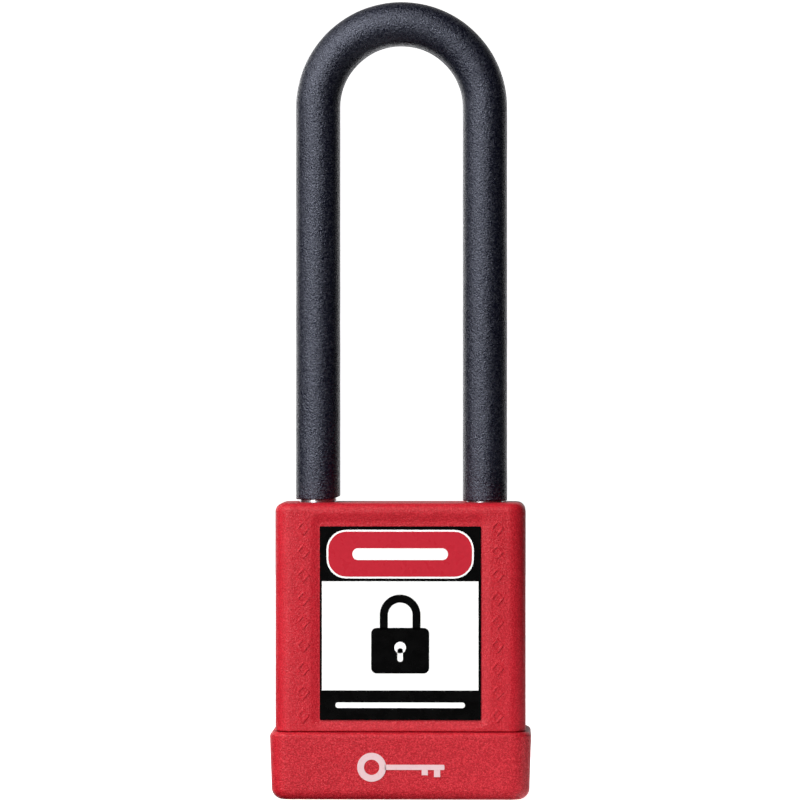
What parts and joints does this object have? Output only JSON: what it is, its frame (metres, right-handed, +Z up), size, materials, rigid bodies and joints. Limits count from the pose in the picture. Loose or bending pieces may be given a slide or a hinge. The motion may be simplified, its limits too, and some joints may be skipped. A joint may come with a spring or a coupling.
{
  "type": "safety padlock",
  "caption": "Insulated safety padlock with a long sleeved shackle, a plastic-covered lock body, a pin cylinder and locking bolts.",
  "frame": {"origin": "centre of the bottom cap's flat underside, which the padlock stands on", "axes": "+Z up from the bottom cap to the shackle's bow, -Y out of the printed front label, +X towards the shackle's heel leg"},
  "size_m": [0.0426, 0.0218, 0.1303],
  "materials": {
    "cover_plastic": "fine spark-eroded grain",
    "printed_label": "satin printed film",
    "write_on_label": "matt write-on film",
    "nylon": "fine leathery grain",
    "alloy": "brushed and drilled",
    "hardened_steel": "ground and plated",
    "spring_steel": "drawn wire",
    "brass": "turned"
  },
  "bodies": {
    "case": {"body_cover": "cover_plastic", "bottom_cap": "cover_plastic", "label_front": "printed_label", "label_back": "write_on_label", "lock_body": "alloy", "plug_retaining_pin": "hardened_steel", "heel_retaining_pin": "hardened_steel", "cross_bore_plug": "alloy", "shackle_spring": "spring_steel", "chamber_plug_1": "alloy", "pin_spring_1": "spring_steel", "chamber_plug_2": "alloy", "pin_spring_2": "spring_steel", "chamber_plug_3": "alloy", "pin_spring_3": "spring_steel", "chamber_plug_4": "alloy", "pin_spring_4": "spring_steel", "chamber_plug_5": "alloy", "pin_spring_5": "spring_steel", "chamber_plug_6": "alloy", "pin_spring_6": "spring_steel"},
    "cylinder": {"cylinder_plug": "brass", "bolt_driver": "hardened_steel"},
    "shackle": {"shackle": "hardened_steel", "shackle_sleeve": "nylon"},
    "bolt_left": {"bolt_left": "hardened_steel"},
    "bolt_right": {"bolt_right": "hardened_steel"},
    "key_pin_1": {"key_pin_1": "brass"},
    "key_pin_2": {"key_pin_2": "brass"},
    "key_pin_3": {"key_pin_3": "brass"},
    "key_pin_4": {"key_pin_4": "brass"},
    "key_pin_5": {"key_pin_5": "brass"},
    "key_pin_6": {"key_pin_6": "brass"},
    "driver_pin_1": {"driver_pin_1": "brass"},
    "driver_pin_2": {"driver_pin_2": "brass"},
    "driver_pin_3": {"driver_pin_3": "brass"},
    "driver_pin_4": {"driver_pin_4": "brass"},
    "driver_pin_5": {"driver_pin_5": "brass"},
    "driver_pin_6": {"driver_pin_6": "brass"}
  },
  "joints": [
    {"name": "cylinder_turn", "type": "hinge", "parent": "case", "child": "cylinder", "pos_m": [0, 0, 0.02], "axis": [0, 0, 1], "range_deg": [0, 90]},
    {"name": "bolt_left_slide", "type": "slide", "parent": "case", "child": "bolt_left", "axis": [-1, 0, 0], "range_m": [0, 0.00141]},
    {"name": "bolt_right_slide", "type": "slide", "parent": "case", "child": "bolt_right", "axis": [1, 0, 0], "range_m": [0, 0.00141]},
    {"name": "shackle_lift", "type": "slide", "parent": "case", "child": "shackle", "axis": [0, 0, 1], "range_m": [0, 0.012], "deforming": ["shackle_spring"]},
    {"name": "key_pin_1_slide", "type": "slide", "parent": "cylinder", "child": "key_pin_1", "axis": [0, -1, 0], "range_m": [0, 0.0024]},
    {"name": "key_pin_2_slide", "type": "slide", "parent": "cylinder", "child": "key_pin_2", "axis": [0, -1, 0], "range_m": [0, 0.0016]},
    {"name": "key_pin_3_slide", "type": "slide", "parent": "cylinder", "child": "key_pin_3", "axis": [0, -1, 0], "range_m": [0, 0.0032]},
    {"name": "key_pin_4_slide", "type": "slide", "parent": "cylinder", "child": "key_pin_4", "axis": [0, -1, 0], "range_m": [0, 0.002]},
    {"name": "key_pin_5_slide", "type": "slide", "parent": "cylinder", "child": "key_pin_5", "axis": [0, -1, 0], "range_m": [0, 0.0036]},
    {"name": "key_pin_6_slide", "type": "slide", "parent": "cylinder", "child": "key_pin_6", "axis": [0, -1, 0], "range_m": [0, 0.0028]},
    {"name": "driver_pin_1_slide", "type": "slide", "parent": "case", "child": "driver_pin_1", "axis": [-1, 0, 0], "range_m": [0, 0.002], "stiffness_N_per_m": 60, "springref_m": -0.004, "deforming": ["pin_spring_1"]},
    {"name": "driver_pin_2_slide", "type": "slide", "parent": "case", "child": "driver_pin_2", "axis": [-1, 0, 0], "range_m": [0, 0.002], "stiffness_N_per_m": 60, "springref_m": -0.004, "deforming": ["pin_spring_2"]},
    {"name": "driver_pin_3_slide", "type": "slide", "parent": "case", "child": "driver_pin_3", "axis": [-1, 0, 0], "range_m": [0, 0.002], "stiffness_N_per_m": 60, "springref_m": -0.004, "deforming": ["pin_spring_3"]},
    {"name": "driver_pin_4_slide", "type": "slide", "parent": "case", "child": "driver_pin_4", "axis": [-1, 0, 0], "range_m": [0, 0.002], "stiffness_N_per_m": 60, "springref_m": -0.004, "deforming": ["pin_spring_4"]},
    {"name": "driver_pin_5_slide", "type": "slide", "parent": "case", "child": "driver_pin_5", "axis": [-1, 0, 0], "range_m": [0, 0.002], "stiffness_N_per_m": 60, "springref_m": -0.004, "deforming": ["pin_spring_5"]},
    {"name": "driver_pin_6_slide", "type": "slide", "parent": "case", "child": "driver_pin_6", "axis": [-1, 0, 0], "range_m": [0, 0.002], "stiffness_N_per_m": 60, "springref_m": -0.004, "deforming": ["pin_spring_6"]}
  ],
  "couplings": [
    {"joint": "bolt_left_slide", "follows": "cylinder_turn", "m_per_rad": 0.0009},
    {"joint": "bolt_right_slide", "follows": "cylinder_turn", "m_per_rad": 0.0009}
  ]
}
